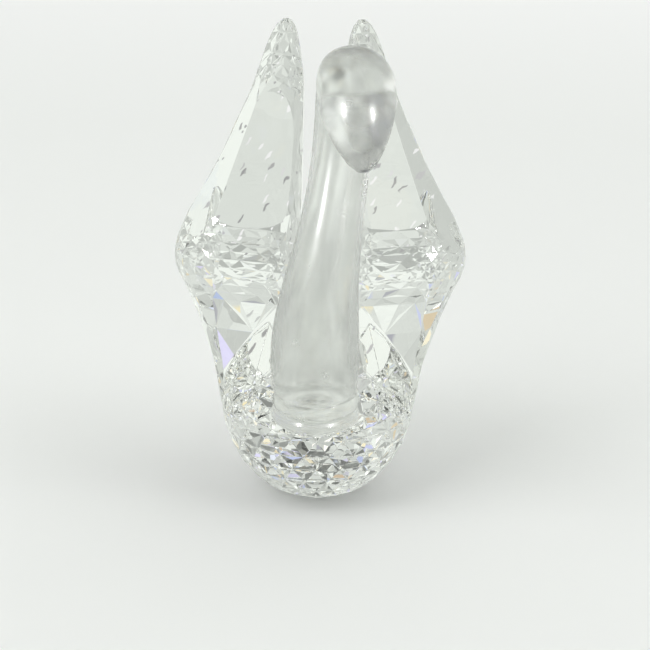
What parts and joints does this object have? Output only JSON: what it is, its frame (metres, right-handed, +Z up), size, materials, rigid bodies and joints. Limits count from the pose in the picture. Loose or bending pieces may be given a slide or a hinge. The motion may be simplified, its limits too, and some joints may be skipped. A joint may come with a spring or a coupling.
{
  "type": "crystal swan figurine",
  "caption": "Full-cut clear crystal swan: faceted body, upswept faceted wings and tail, with a smooth lampworked neck and head.",
  "frame": {"origin": "on the flat facet under the body, below the middle of the body", "axes": "+Z up; the swan faces -Y; +X to the right as the swan is seen from its front, and wing_left and wing_right are named from there"},
  "size_m": [0.04, 0.0563, 0.0633],
  "materials": {
    "crystal": "polished full-cut lead-type crystal",
    "neck_glass": "fire-polished lampworked clear glass",
    "adhesive": "cured clear adhesive film"
  },
  "bodies": {
    "root": {"body": "crystal", "wing_left": "crystal", "wing_right": "crystal", "tail": "crystal", "neck_and_head": "neck_glass", "neck_bond": "adhesive", "wing_left_bond": "adhesive", "wing_right_bond": "adhesive", "tail_bond": "adhesive"}
  },
  "joints": []
}
